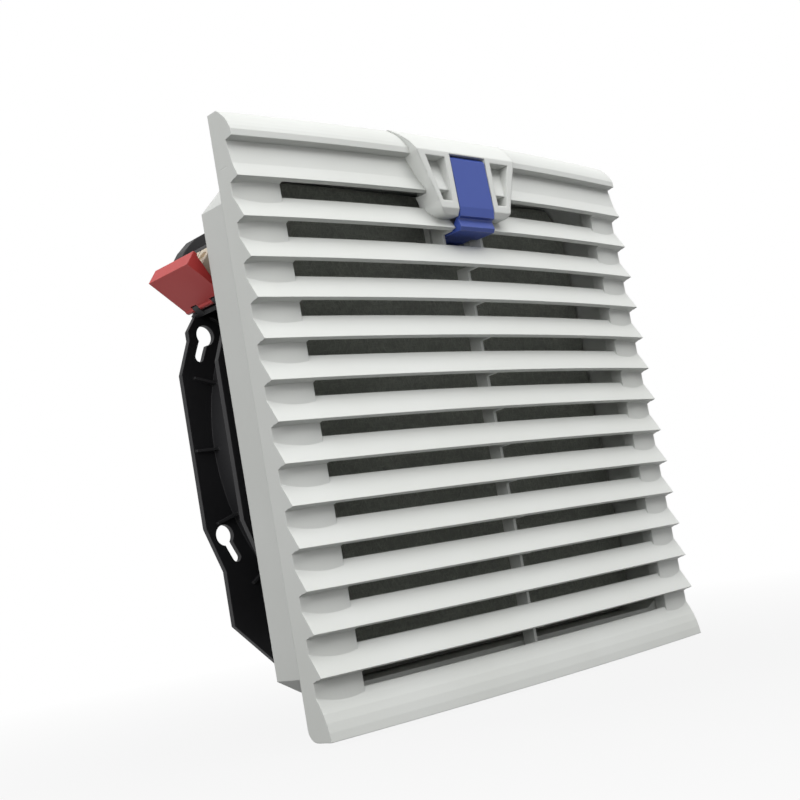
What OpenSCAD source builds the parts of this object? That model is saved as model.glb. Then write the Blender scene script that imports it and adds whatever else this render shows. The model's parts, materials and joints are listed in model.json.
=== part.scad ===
// Cabinet filter fan: a hinged louvre grille, a filter mat and an axial fan on a bayonet.
// The origin is the middle of the door's cut-out, on the door's outer face.
// X is to the right, Y goes into the cabinet and Z is up, all in millimetres.

/* [Panel] */
// Width of the front panel
panel_w = 255; // [235:1:300]
// Height of the front panel
panel_h = 255; // [235:1:300]
// Depth of the panel at its side edges, door face to slat tips
panel_d = 13.8; // [13.2:0.1:18]
// How far the middle of the front stands out beyond its side edges
bow = 6.5; // [3:0.1:9]
// Wall of the panel's rims
rim_t = 3.5; // [2.5:0.1:4]
// Width of the panel around the door's cut-out
panel_margin = 15.5; // [15.5:0.1:20]

/* [Slats] */
// Distance from one slat tip to the next
slat_pitch = 16.75; // [15.5:0.25:18.5]
// Depth of the sloped face of a slat
slat_run = 5.4; // [4.8:0.1:5.6]
// Height of the sloped face of a slat
slat_rise = 9.6; // [8.5:0.1:10.6]
// Thickness of a slat, front to back
slat_t = 2.4; // [1.8:0.1:2.6]
// Fall of the underside of a slat
lip_drop = 0.7; // [0.3:0.1:1.2]
// Distance from the top of the panel to the tip of the head bar
head_drop = 12.8; // [12:0.1:15]
// Least height of the foot bar under the last slat tip
foot_min = 20; // [18:1:26]
// Closed end of each slat gap, from the panel's side edge
gap_end = 22.8; // [18:0.1:26]
// Radius of the rounded ends of the slat gaps, in plan
gap_end_r = 70; // [40:1:120]
// Thickness of the upright webs behind the slats
web_t = 1.6; // [1.2:0.1:2.2]

/* [Latch] */
// Width of the latch
latch_w = 23; // [18:0.5:26]
// Gap between the latch and its bay, each side
latch_gap = 0.5; // [0.3:0.1:1]
// How far the grip frame stands out beyond the slats
grip_proud = 4; // [2.5:0.1:5]
// Width of the grip frame at the head bar
grip_top_w = 66; // [58:1:76]
// Width of the grip frame at its lower end
grip_low_w = 48.5; // [46:0.5:56]
// Width of the grip frame's rails
rail_w = 4.6; // [3.6:0.1:6]
// Widening of the grip frame at the top of the panel, each side
grip_flare = 4.5; // [3:0.5:10]
// Wall between the latch and each finger pocket
latch_wall = 3.3; // [2:0.1:4]
// Radius of the latch pin
latch_pin_r = 1.25; // [1:0.05:1.6]
// Depth of the hook behind the keeper bar
hook_bite = 1.2; // [0.8:0.1:1.6]

/* [Frame] */
// Gap between the frame's box and the cut-out, each side
box_clear = 0.5; // [0.3:0.1:1]
// Depth of the box behind the door's face
box_d = 35.2; // [34:0.1:45]
// Wall of the box
box_t = 2.5; // [2:0.1:3]
// Chamfer of the box's upper corners
corner_top = 13; // [8:0.5:16]
// Height of the cut at the box's lower corners
corner_low = 6.8; // [5:0.2:12]
// Width of the cut at the box's lower corners
corner_run = 11.6; // [6:0.2:16]
// Width of the sealing face around the cut-out
seal_w = 4.3; // [3.5:0.1:4.4]
// Thickness of the flange
flange_t = 3; // [2.5:0.1:3.4]
// Thickness of the door gasket
gasket_t = 2; // [1.5:0.1:2.2]
// Distance from bar to bar of the grid behind the mat
grid_step = 24; // [18:0.5:26]
// Thickness of a grid bar
grid_t = 2; // [1.6:0.1:2.6]
// Thickness of the filter mat
mat_t = 17; // [12:0.5:20]
// Radius of the hinge barrel at the panel's foot
hinge_r = 5.2; // [4.8:0.1:5.3]
// Radius of the hinge pins
hinge_pin_r = 1.6; // [1.3:0.05:1.9]
// Distance of each hinge lug from the middle
lug_x = 88; // [60:1:95]

/* [Fan housing] */
// Least distance from the edge of the cut-out to the fan duct
duct_margin = 15; // [14:0.5:20]
// Depth of the fan housing
fan_d = 31; // [29:0.5:36]
// Thickness of the housing's flanges
plate_t = 2.6; // [2:0.1:3.2]
// Wall of the fan duct
duct_t = 2.5; // [2:0.1:3]
// Height of the bayonet studs' collars behind the box
stud_h = 6; // [5:0.1:9]
// Radius of the neck of a bayonet stud
stud_r = 2; // [1.6:0.1:2.4]
// Radius of the head of a bayonet stud
stud_head_r = 4.2; // [3.8:0.1:4.5]
// Turn of the housing from locked to free, in degrees
twist = 6; // [5:0.5:8]
// Thickness of the gusset ribs
rib_t = 1.2; // [1:0.1:2.4]

/* [Motor] */
// Outer radius of the rotor cup
rotor_r = 38; // [34:0.5:40]
// Radius of the motor shaft
shaft_r = 3; // [2.5:0.1:4]
// Outer radius of the ball bearings
bearing_r = 9.5; // [8.5:0.1:11]
// Number of impeller blades
blade_n = 7; // [5:1:9]
// Gap between the blade tips and the duct
tip_gap = 2; // [1.2:0.1:4]
// Pitch of the blades at the hub, in degrees
pitch_root = 42; // [34:1:48]
// Pitch of the blades at the tip, in degrees
pitch_tip = 24; // [18:1:30]
// How far the guard's middle stands behind its rim
guard_rise = 12.4; // [11:0.2:18]
// Distance from ring to ring of the guard
ring_step = 9.4; // [8:0.1:11]

/* [Terminal] */
// Direction of the terminal from the fan axis, in degrees from +X towards +Z
term_angle = 143; // [140:0.5:146]
// Length of the terminal bay under the cover, outwards from the fan
term_l = 22.4; // [20:0.2:26]
// Length of the terminal block, outwards from the fan
block_l = 18; // [16.5:0.2:20]
// Width of the terminal block
term_w = 15; // [13:0.2:16]
// Wall of the terminal cover
cover_t = 2.2; // [1.8:0.1:2.4]
// Height of the cover's outer lip
cover_lip = 7.7; // [5:0.1:9]
// Radius of the cover's pin
cover_pin_r = 1; // [0.8:0.05:1.2]
// Radius of the motor lead
lead_r = 2.4; // [2:0.1:3]

/* [Hidden] */

// Clearances
run_gap = 0.05;   // a pin in its running bore
free_gap = 0.3;   // moving pieces beside each other
door_gap = 0.5;   // the grille's rim in front of the door
past = 1;         // how far a cutter runs past a face

// Panel
half_w = panel_w / 2;
half_h = panel_h / 2;
bow_r = (half_w * half_w + bow * bow) / (2 * bow);
bow_y = bow_r - panel_d - bow;
bow_span = 2 * asin(half_w / bow_r) + 1;
front_y = -panel_d - bow;
deep = panel_d + bow + past;
slat_n = floor((panel_h - head_drop - foot_min) / slat_pitch);
slat_slope = slat_rise / slat_run;
slat_top = slat_run + 0.4;
notch_h = slat_pitch - slat_rise;
web_d = slat_top + 0.75 * slat_t;
seat_in = slat_t / 2;
pocket_d = 5.6;
gap_x = half_w - gap_end;
gap_end_d = slat_run - 0.95;
head_run = 7.5;
head_nose = 2.8;
blind_d = 4.1;
first_run = 2.3;
first_rise = 5.9;
seat_y = -gasket_t;
flange_y = seat_y - flange_t;
cavity_y = flange_y - 0.4;

// Frame
cut_w = panel_w - 2 * panel_margin;
cut_h = panel_h - 2 * panel_margin;
box_x = cut_w / 2 - box_clear;
box_z = cut_h / 2 - box_clear;
in_x = box_x - box_t;
in_z = box_z - box_t;
flange_x = cut_w / 2 + seal_w;
flange_z = cut_h / 2 + seal_w;
back_t = 3;
grid_d = 5.2;
grid_y = box_d - back_t - grid_d;
mat_gap = 0.5;
hinge_y = -door_gap - hinge_r;
hinge_z = -half_h + hinge_r;
barrel_r = hinge_r - 0.2;
lug_w = 10;
lug_r = hinge_pin_r + 2;
pin_l = 26;
clip_x = 60;
clip_w = 20;
clip_y = 3.5;
clip_l = 15;
clip_h = 3;

// Latch and grip frame
bay_x = latch_w / 2 + latch_gap;
cheek_x = bay_x + latch_wall;
grip_y = front_y - grip_proud;
grip_low = tip_z(2) + 4.6;
grip_back = front_y + slat_top + slat_t;
latch_top = tip_z(0) - 0.2;
pin_half = cheek_x - 0.6;
crease_z = tip_z(1) - 8;
pin_y = grip_y + 4.8;
pin_z = tip_z(0) - 2;
arm_low = tip_z(2) - 1.8;
arm_high = tip_z(2) + 1.8;
hook_w = 16;
keeper_w = 28;
keeper_z = arm_low - hook_bite;
tooth_y = seat_y + 0.8;
tooth_t = 2.6;

// Fan housing
duct_r = min(cut_w, cut_h) / 2 - duct_margin;
fan_y = box_d + stud_h;
fan_end = fan_y + fan_d;
key_r = duct_r + 11.5;
key_hole_r = stud_head_r + 0.55;
slot_r = stud_r + 0.25;
key_angle = 27;
key_pair = 50.4;
mid_half = 35;
waist_a = 51;
waist_b = 55;
mid_out = duct_r + 13.7;
side_out = duct_r + 6.7;
corner_half = side_out - 24;
rib_angles = [-34.5, -17.7, 0, 17.7, 34.5, 42];
rib_h = 4;
screw_r = 2;
screw_head = 1.8;
screw_grip = 5;
screw_ring = duct_r + 8.5;

// Terminal bay
floor_r = duct_r + 19.6;
floor_t = 2;
bay_cut_r = floor_r - 0.6;
cheek_t = 2.5;
term_low = -term_w / 2 - 1.2;
term_high = term_low + term_w;
bay_wall = term_low - free_gap;
cover_r = floor_r + term_l + 0.6 + cover_t;
cover_in = term_high + 0.9;
cover_out = cover_in + cover_t;
knuckle_r = 1.9;
cover_x = floor_r + 2.6;
cover_z = cover_in + 0.6;
ear_w = 4;
ear_y = [fan_y + 6, fan_end - 6 - ear_w];
corner_d = 7;
corner_reach = 19.7;

// Motor and guard
rotor_y = fan_y + 3;
rotor_t = 2.4;
rotor_end = fan_end + guard_rise - 4.1;
hub_t = 3;
hub_r = rotor_r + hub_t;
plate_r = rotor_r + 6;
plate_in = 16;
guard_t = 4;
guard_plate_t = 2.6;
guard_lug_t = 3;
rim_r = duct_r + 3.5;
guard_end = fan_end + guard_t + guard_rise;
flange_back = guard_end - guard_plate_t;
disc_t = 3.4;
disc_r = rotor_r + 2;
disc_y = flange_back - disc_t;
tube_t = 2.5;
tube_y = rotor_y + rotor_t + 4.9;
bearing_w = 6;
rear_bearing_y = flange_back - 2 - bearing_w;
boss_r = shaft_r + 4;
boss_l = 3.4;
stator_r = rotor_r - rotor_t - 0.7;
stator_l = 20;
stator_y = (tube_y + disc_y - stator_l) / 2;
coil_over = 3;
slot_n = 8;
bolt_ring = 30;
grommet_r = 22;
blade_y = fan_y + 16;
blade_stations = 6;
chord_root = 33;
chord_tip = 52;
blade_root_t = 2.6;
blade_tip_t = 1.4;
blade_edge = 0.3;
blade_camber = 3.2;
blade_sweep = 16;
hub_in = 4;

// Tip height of a slat: 0 is the head bar
function tip_z(i) = half_h - head_drop - i * slat_pitch;

// Points on the arc of radius r from p to q, bulging to the left of the way
function arc(p, q, r, n) =
    let (m = (p + q) / 2, h = norm(q - p) / 2, w = (q - p) / (2 * h),
        c = m + sqrt(r * r - h * h) * [w[1], -w[0]],
        a0 = atan2(p[1] - c[1], p[0] - c[0]), turn = 2 * asin(h / r))
    [for (k = [0:n]) c + r * [cos(a0 - turn * k / n), sin(a0 - turn * k / n)]];

function flip(points) = [for (k = [len(points) - 1:-1:0]) points[k]];

function mirrored(points) = concat(points, [for (p = flip(points)) [-p[0], p[1]]]);

// Depth behind the slat tips and height, as radius and height of the bow
function bow_points(points) = [for (p = points) [bow_r - p[0], p[1]]];

// Rear face of the guard's struts at a radius
function guard_y(r) = guard_end - guard_rise * (r - plate_r) / (rim_r - plate_r);

module along_y(y0, y1) {
    translate([0, y1, 0])
        rotate([90, 0, 0])
            linear_extrude(y1 - y0)
                children();
}

module along_x(x0, x1) {
    translate([x0, 0, 0])
        rotate([90, 0, 90])
            linear_extrude(x1 - x0)
                children();
}

// A solid of revolution about the fan axis: radius and Y
module about_y() {
    rotate([-90, 0, 0])
        rotate_extrude($fn = 128)
            children();
}

module rod_y(r, y0, y1, fn = 48) {
    translate([0, y0, 0])
        rotate([-90, 0, 0])
            cylinder(r = r, h = y1 - y0, $fn = fn);
}

module rod_x(r, x0, x1) {
    translate([x0, 0, 0])
        rotate([0, 90, 0])
            cylinder(r = r, h = x1 - x0, $fn = 48);
}

// A direction from the fan axis: children lie along X with Y axial
module at_angle(a) {
    rotate([0, -a, 0])
        children();
}

module block(low, high) {
    translate(low)
        cube(high - low);
}

// A bar with the bow of the front: depth behind the slat tips and height
module bowed(points) {
    translate([0, bow_y, 0])
        rotate([0, 0, -90 - bow_span / 2])
            rotate_extrude(angle = bow_span, $fn = 720)
                polygon(bow_points(points));
}

// Rectangle with chamfered corners, in X and Z
module octagon(x, z, top, low, run) {
    polygon(mirrored([[x - run, -z], [x, low - z], [x, z - top], [x - top, z]]));
}

module sides() {
    for (s = [-1, 1])
        scale([s, 1, 1])
            children();
}

// Louvre grille

function head_arc() = arc([0, tip_z(0) + head_nose], [head_run, half_h], 19, 6);

function head_points() = concat(
    [[deep, half_h]],
    flip(head_arc()),
    [[0, tip_z(0)], [blind_d, tip_z(0) - lip_drop], [first_run, tip_z(1) + first_rise], [0, tip_z(1)],
        [slat_t, tip_z(1) - lip_drop], [first_run + slat_t, tip_z(1) + first_rise],
        [blind_d + slat_t, tip_z(0) - lip_drop], [blind_d + slat_t, tip_z(0) + 1.4],
        [slat_t + 0.6, tip_z(0) + head_nose]],
    [[head_run + 0.8, half_h - rim_t], [deep, half_h - rim_t]]);

function slat_points(z) = [[0, z], [slat_top, z + slat_top * slat_slope],
    [slat_top + slat_t, z + slat_top * slat_slope], [slat_t, z - lip_drop]];

function foot_points() = concat(
    arc([0, -half_h], [slat_run, tip_z(slat_n) - notch_h], 40, 5),
    [[slat_run + slat_t, tip_z(slat_n) - notch_h], [deep, 2 * hinge_r - half_h], [deep, -half_h]]);

// Solid end of a slat, as deep as the rounded end of the gap
function end_points(z) = [[slat_t * 2 / 3, z - 0.1], [slat_top, z + slat_top * slat_slope - 0.3],
    [slat_top, z - slat_top * lip_drop / slat_t]];

// Front of the bow at a distance from the middle
function bow_front(x) = bow_y - sqrt(bow_r * bow_r - x * x);

// Rounded end of the slat gaps, in plan
module gap_end_wall() {
    translate([0, 0, -half_h])
        linear_extrude(tip_z(1) + first_rise - 0.5 + half_h)
            polygon(concat(
                arc([half_w, slat_run - panel_d], [gap_x, bow_front(gap_x) + gap_end_d], gap_end_r, 10),
                [[gap_x, past], [half_w, past]]));
}

// Solid end of the head bar, from the middle of its skin to the back of the panel
module head_end() {
    intersection() {
        bowed([[deep, half_h - 1], [head_run + 0.4, half_h - 1], [seat_in + 0.3, tip_z(0) + head_nose],
            [seat_in + 0.3, tip_z(0) + 0.7], [blind_d + seat_in, tip_z(0) - 0.4],
            [first_run + seat_in, tip_z(1) + first_rise], [deep, tip_z(1) + first_rise - 1]]);
        sides()
            block([half_w - rim_t - 0.8, front_y, tip_z(1)], [half_w + past, past, half_h]);
    }
}

// Upright web: level behind each slat tip, then straight down behind the next slat
module web(x, first, last) {
    edge = [for (i = [first:last], k = [0:2])
        k == 0 ? [front_y + slat_t - 0.2, tip_z(i) - lip_drop - 0.2] :
        k == 1 ? [front_y + web_d, tip_z(i) - lip_drop - 0.5] : [front_y + web_d, tip_z(i) - notch_h + 0.1]];
    back = cavity_y - 0.6;
    top = tip_z(first) + 1;
    low = tip_z(last) - notch_h - 1;
    along_x(x - web_t / 2, x + web_t / 2)
        polygon(concat([[front_y + 1.6, top]], edge,
            [[front_y + slat_run + 0.8, low], [back, low], [back, top]]));
}

// Outer limits of the panel, rounded about the hinge at its foot
module panel_block() {
    along_x(-half_w, half_w)
        polygon(concat(
            [[front_y - past, -half_h]],
            [for (a = [-90:15:0]) [hinge_y + hinge_r * cos(a), hinge_z + hinge_r * sin(a)]],
            [[-door_gap, half_h], [front_y - past, half_h]]));
}

function grip_outline() = mirrored(concat(
    [for (a = [-90:15:0]) [grip_low_w / 2 - 6 + 6 * cos(a), grip_low + 6 + 6 * sin(a)]],
    arc([grip_top_w / 2, tip_z(0) + 0.5], [grip_top_w / 2 + grip_flare, half_h], 24, 6)));

// Clear way for the latch through the slats, and in the grip frame
module latch_bay() {
    block([-bay_x, grip_y - past, arm_low - 1.8], [bay_x, past, latch_top + latch_gap]);
}

module flange_cavity() {
    block([rim_t - half_w, cavity_y, -half_h - past], [half_w - rim_t, past, half_h - rim_t]);
}

module louvre_grille() {
    color("#cdcfcd")
        difference() {
            union() {
                difference() {
                    intersection() {
                        panel_block();
                        union() {
                            bowed(head_points());
                            head_end();
                            for (i = [2:slat_n])
                                bowed(slat_points(tip_z(i)));
                            bowed(foot_points());
                            intersection() {
                                for (i = [1:slat_n])
                                    bowed(end_points(tip_z(i)));
                                sides()
                                    block([gap_x, front_y, -half_h], [half_w + past, 0, half_h]);
                            }
                            sides()
                                gap_end_wall();
                            web(0, 3, slat_n);
                            sides()
                                web(bay_x + web_t / 2, 1, 2);
                        }
                    }
                    flange_cavity();
                }
                translate([0, hinge_y, hinge_z])
                    rod_x(barrel_r, rim_t - half_w - 1, half_w - rim_t + 1);
            }
            grip_body();
            latch_bay();
            sides() {
                block([lug_x - lug_w / 2 - free_gap, hinge_y - lug_r - 0.4, -half_h - past],
                    [lug_x + lug_w / 2 + free_gap, past, hinge_z + 2 * hinge_r]);
                translate([0, hinge_y, hinge_z])
                    rod_x(hinge_pin_r + run_gap, lug_x - pin_l / 2 - free_gap, lug_x + pin_l / 2 + free_gap);
            }
        }
}

// Section of the grip frame, in Y and Z: it sits in the front of the slats and the head bar
function grip_section() = concat(
    flip(arc([grip_y, tip_z(0) + 1], [front_y + head_run - 0.5, half_h], 40, 6)),
    [[grip_y - 0.4, grip_low + 3], [grip_y + 1.2, grip_low], [grip_back, grip_low],
        [grip_back, tip_z(1) - lip_drop - 0.2], [front_y + seat_in, tip_z(1) - lip_drop - 0.2],
        [front_y + seat_in, tip_z(1)], [front_y + first_run + seat_in, tip_z(1) + first_rise],
        [front_y + blind_d + seat_in, tip_z(0) - lip_drop], [front_y + blind_d + seat_in, tip_z(0) + 0.3],
        [front_y + seat_in, tip_z(0) + 1]],
    [for (p = head_arc()) [front_y + p[0] + seat_in, p[1]]]);

// Finger pocket beside the latch: a floor that falls back towards the top, and an open slot under it
module finger_pocket() {
    rail = (grip_top_w - grip_low_w) / 2 / (tip_z(0) - grip_low);
    low = 6.5;
    high = tip_z(0) - 1.6 - grip_low;
    edge = grip_low_w / 2 - rail_w;
    slot_top = tip_z(1) - 0.2;
    intersection() {
        along_y(grip_y - past, grip_back + past)
            polygon([[cheek_x, grip_low + low], [edge + rail * low, grip_low + low],
                [edge + rail * high, grip_low + high], [cheek_x, grip_low + high]]);
        along_x(0, half_w)
            polygon([[grip_y - past, half_h], [grip_y + pocket_d, half_h], [grip_y + pocket_d, grip_low + high],
                [grip_y + 1.4, slot_top], [grip_back + past, slot_top], [grip_back + past, grip_low],
                [grip_y - past, grip_low]]);
    }
}

module grip_body() {
    difference() {
        intersection() {
            along_x(-half_w, half_w)
                polygon(grip_section());
            along_y(grip_y - past, past)
                polygon(grip_outline());
        }
        sides()
            finger_pocket();
    }
}

module grip_frame() {
    color("#d2d4d2")
        difference() {
            grip_body();
            latch_bay();
            translate([0, pin_y, pin_z])
                rod_x(latch_pin_r, -pin_half, pin_half);
        }
}

module latch_pin() {
    color("#b9bcc0")
        translate([0, pin_y, pin_z])
            rod_x(latch_pin_r, -pin_half, pin_half);
}

// Torsion spring: touching turns on the latch pin, with a leg behind the latch and one to the roof
module latch_spring() {
    turns = 5;
    wire = 0.8;
    inner = latch_pin_r + 0.15;
    half = turns * wire / 2;
    leg_x = half - wire / 2;
    leg_y = inner + wire / 2;
    color("#8f949a")
        translate([0, pin_y, pin_z]) {
            rotate([0, 90, 0])
                rotate_extrude($fn = 32)
                    polygon(concat([[inner, -half]],
                        [for (k = [0:2 * turns])
                            [inner + wire * (k % 2 == 0 ? 0.6 : 1), k * wire / 2 - half]],
                        [[inner, half]]));
            translate([leg_x, leg_y, -8])
                cylinder(r = wire * 0.35, h = 8, $fn = 16);
            translate([-leg_x, leg_y, 0])
                cylinder(r = wire * 0.35, h = latch_top + latch_gap - pin_z, $fn = 16);
        }
}

// Latch

module latch() {
    spring_room = 3.4;
    color("#44569f")
        difference() {
            union() {
                along_x(-latch_w / 2, latch_w / 2)
                    polygon([[grip_y + 7.4, latch_top], [grip_y + 1.6, latch_top],
                        [grip_y + 0.2, latch_top - 1.6], [grip_y - 0.5, crease_z],
                        [grip_y + 0.1, crease_z - 4.3], [grip_y + 1.6, crease_z - 4.8],
                        [grip_y + 1.9, crease_z - 5.6], [grip_y + 0.9, tip_z(2) - 0.2],
                        [grip_y + 2, arm_low], [grip_y + 13, arm_low], [grip_y + 13, arm_high],
                        [grip_y + 5.4, arm_high], [grip_y + 3, crease_z - 4],
                        [grip_y + 2.4, pin_z - 4.4], [grip_y + 7.4, pin_z - 2.6]]);
                block([-hook_w / 2, grip_y + 12, arm_low], [hook_w / 2, tooth_y + tooth_t, arm_high]);
                block([-hook_w / 2, tooth_y, keeper_z - hook_bite],
                    [hook_w / 2, tooth_y + tooth_t, arm_low + 1]);
            }
            translate([0, pin_y, pin_z])
                rod_x(latch_pin_r + run_gap, -latch_w, latch_w);
            block([-spring_room, grip_y + 2, pin_z - 9.5], [spring_room, grip_y + 9, latch_top + past]);
        }
}

// Mounting frame

module box_outline(inset) {
    less = inset / 2;
    octagon(box_x - inset, box_z - inset, corner_top - less, corner_low - less, corner_run - less);
}

module hinge_lug() {
    difference() {
        union() {
            translate([lug_x - lug_w / 2, hinge_y, hinge_z])
                rod_x(lug_r, 0, lug_w);
            block([lug_x - lug_w / 2, flange_y, hinge_z], [lug_x + lug_w / 2, seat_y, past - flange_z]);
        }
        translate([lug_x, hinge_y, hinge_z])
            rod_x(hinge_pin_r, -lug_w, lug_w);
    }
}

// Keeper bar for the latch's hook, hung from the head of the flange
module latch_keeper() {
    foot = keeper_z - 5;
    difference() {
        block([-keeper_w / 2, flange_y, foot], [keeper_w / 2, seat_y, in_z + past]);
        block([-hook_w / 2 - 1, flange_y - past, keeper_z], [hook_w / 2 + 1, 0, arm_high + 4.6]);
    }
}

function stud_angles() = [for (k = [0:3]) key_angle + 90 * k];

module mounting_frame() {
    color("#c4c6c2")
        difference() {
            union() {
                along_y(flange_y, seat_y)
                    difference() {
                        octagon(flange_x, flange_z, 6, 6, 6);
                        box_outline(box_t);
                    }
                along_y(seat_y, box_d)
                    difference() {
                        box_outline(0);
                        box_outline(box_t);
                    }
                along_y(box_d - back_t, box_d)
                    difference() {
                        box_outline(box_t / 2);
                        circle(r = duct_r + 0.5, $fn = 128);
                    }
                along_y(grid_y, box_d - back_t)
                    intersection() {
                        box_outline(box_t / 2);
                        grid_bars();
                    }
                sides()
                    hinge_lug();
                latch_keeper();
            }
            for (a = stud_angles())
                at_angle(a)
                    translate([key_r, 0, 0])
                        rod_y(stud_r, box_d - back_t - past, box_d + past);
            for (s = [-1, 1])
                for (x = [-clip_x, clip_x])
                    scale([1, 1, s])
                        block([x - clip_w / 2, clip_y - 0.6, in_z - past],
                            [x + clip_w / 2, clip_y + clip_l, box_z + past]);
        }
}

module grid_bars() {
    nx = floor(in_x / grid_step);
    nz = floor(in_z / grid_step);
    for (k = [-nx:nx])
        translate([k * grid_step - grid_t / 2, -box_z])
            square([grid_t, 2 * box_z]);
    for (k = [-nz:nz])
        translate([-box_x, k * grid_step - grid_t / 2])
            square([2 * box_x, grid_t]);
}

module door_gasket() {
    color("#3a3c3e")
        along_y(seat_y, 0)
            difference() {
                octagon(flange_x, flange_z, 6, 6, 6);
                box_outline(-0.2);
            }
}

// Barbed tongues in windows of the box, which snap behind the door sheet
module snap_clips() {
    color("#c4c6c2")
        for (s = [-1, 1])
            for (x = [-clip_x, clip_x])
                scale([1, 1, s])
                    along_x(x - clip_w / 2 + free_gap, x + clip_w / 2 - free_gap)
                        polygon([[clip_y, in_z], [clip_y + clip_l, in_z], [clip_y + clip_l, box_z],
                            [clip_y + 1, box_z + clip_h], [clip_y, box_z + clip_h]]);
}

module hinge_pins() {
    color("#b9bcc0")
        sides()
            translate([lug_x, hinge_y, hinge_z])
                rod_x(hinge_pin_r, -pin_l / 2, pin_l / 2);
}

module bayonet_studs() {
    head = fan_y + plate_t + free_gap;
    color("#b9bcc0")
        for (a = stud_angles())
            at_angle(a)
                translate([key_r, 0, 0]) {
                    rod_y(stud_r, box_d - back_t, head + 1);
                    rod_y(stud_head_r, box_d, fan_y - free_gap);
                    rod_y(stud_head_r, head, head + 2.4);
                }
}

module filter_mat() {
    color("#8d918c")
        along_y(grid_y - mat_t, grid_y)
            box_outline(box_t + mat_gap);
}

// Fan housing

function quarter_turn(points, k) =
    [for (p = points) k == 0 ? p : k == 1 ? [-p[1], p[0]] : k == 2 ? [-p[0], -p[1]] : [p[1], -p[0]]];

function plate_side() = [[side_out, -corner_half], [side_out, -waist_a], [mid_out, -mid_half],
    [mid_out, mid_half], [side_out, waist_b], [side_out, corner_half]];

function screw_angles() = [for (k = [0:3]) 45 + 90 * k];

function plate_outline() = [for (k = [0:3], p = quarter_turn(plate_side(), k)) p];

// Round entry with a slot that follows the turn of the housing
module keyhole(y0, y1, a) {
    at_angle(a - twist)
        translate([key_r, 0, 0])
            rod_y(key_hole_r, y0, y1);
    at_angle(a)
        translate([key_r, 0, 0])
            rod_y(slot_r, y0, y1);
    translate([0, y0, 0])
        rotate([-90, -a, 0])
            rotate_extrude(angle = twist, $fn = 360)
                translate([key_r - slot_r, 0])
                    square([2 * slot_r, y1 - y0]);
}

module housing_plate(y0) {
    difference() {
        along_y(y0, y0 + plate_t)
            polygon(plate_outline());
        rod_y(duct_r + duct_t / 2, y0 - past, y0 + plate_t + past, 128);
        for (k = [0:3])
            for (a = [key_angle, key_angle - key_pair])
                keyhole(y0 - past, y0 + plate_t + past, a + 90 * k);
        at_angle(term_angle)
            block([bay_cut_r, y0 - past, bay_wall], [2 * duct_r, y0 + plate_t + past, duct_r / 2]);
    }
}

// Bay of the terminal block: floor, cheek and a thick corner on the rear flange
module terminal_bay() {
    at_angle(term_angle) {
        block([floor_r - floor_t, fan_y, bay_wall - cheek_t], [floor_r, fan_end, cover_out]);
        block([duct_r + 3, fan_y, bay_wall - cheek_t], [floor_r + 18, fan_end, bay_wall]);
        along_y(fan_end - corner_d, fan_end)
            polygon([[duct_r + 8, bay_wall], [floor_r + corner_reach, bay_wall],
                [floor_r + corner_reach, bay_wall - 4], [floor_r + corner_reach - 1.5, bay_wall - 12],
                [floor_r + corner_reach - 6.5, bay_wall - 22], [duct_r + 8, bay_wall - 22]]);
        for (y = ear_y) {
            translate([cover_x, 0, cover_z])
                rod_y(knuckle_r, y, y + ear_w);
            block([floor_r - 1, y, cover_z - knuckle_r], [cover_x, y + ear_w, cover_z + knuckle_r]);
        }
    }
}

module fan_housing() {
    color("#191a1c")
        difference() {
            union() {
                about_y()
                    polygon([[duct_r + 2.2, fan_y], [duct_r, fan_y + 4.5], [duct_r, fan_end],
                        [duct_r + duct_t, fan_end], [duct_r + duct_t, fan_y]]);
                housing_plate(fan_y);
                housing_plate(fan_end - plate_t);
                for (k = [0:3])
                    for (a = rib_angles)
                        at_angle(a + 90 * k)
                            translate([0, 0, -rib_t / 2])
                                linear_extrude(rib_t)
                                    polygon([[duct_r + 1, fan_end - plate_t / 2],
                                        [side_out + 6, fan_end - plate_t / 2],
                                        [side_out + 6, fan_end - plate_t - 1],
                                        [duct_r + 1, fan_end - plate_t - rib_h]]);
                for (a = screw_angles())
                    at_angle(a)
                        translate([screw_ring, 0, 0])
                            rod_y(screw_r + 2, fan_end - screw_grip - 1.4, fan_end - plate_t / 2);
                terminal_bay();
            }
            for (a = screw_angles())
                at_angle(a)
                    translate([screw_ring, 0, 0])
                        rod_y(screw_r, fan_end - screw_grip, fan_end + past);
            at_angle(term_angle)
                translate([cover_x, 0, cover_z])
                    rod_y(cover_pin_r, fan_y, fan_end);
        }
}

// Rear guard

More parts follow.
